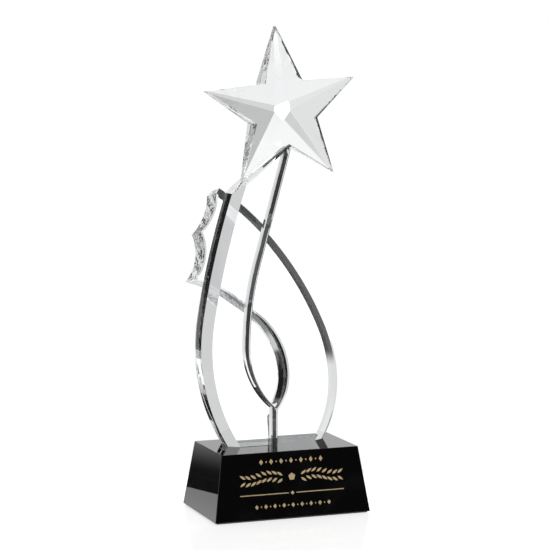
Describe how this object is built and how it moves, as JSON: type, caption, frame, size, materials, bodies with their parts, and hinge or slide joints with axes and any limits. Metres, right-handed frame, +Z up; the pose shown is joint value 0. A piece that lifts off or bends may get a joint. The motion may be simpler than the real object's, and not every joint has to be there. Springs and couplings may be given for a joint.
{
  "type": "crystal star award",
  "caption": "Free-standing award: black glass plinth with two crossing clear crystal ribbons that carry a faceted crystal star.",
  "frame": {"origin": "centre of the resting face under the base", "axes": "+Z up, +X to the right seen from the engraved front, +Y towards the back"},
  "size_m": [0.1059, 0.0812, 0.3051],
  "materials": {
    "black_glass": "polished black glass",
    "clear_crystal": "polished optical crystal",
    "clear_bond": "clear cured adhesive",
    "gold_fill": "gold paint fill in sand-etched glass",
    "black_felt": "pressed felt"
  },
  "bodies": {
    "root": {"base_pad": "black_felt", "base_block": "black_glass", "engraving_fill": "gold_fill", "front_foot_bond": "clear_bond", "rear_foot_bond": "clear_bond", "foot_seam_bond": "clear_bond", "crossing_bond": "clear_bond", "front_ribbon": "clear_crystal", "rear_ribbon": "clear_crystal", "star_bond": "clear_bond", "star": "clear_crystal"}
  },
  "joints": []
}
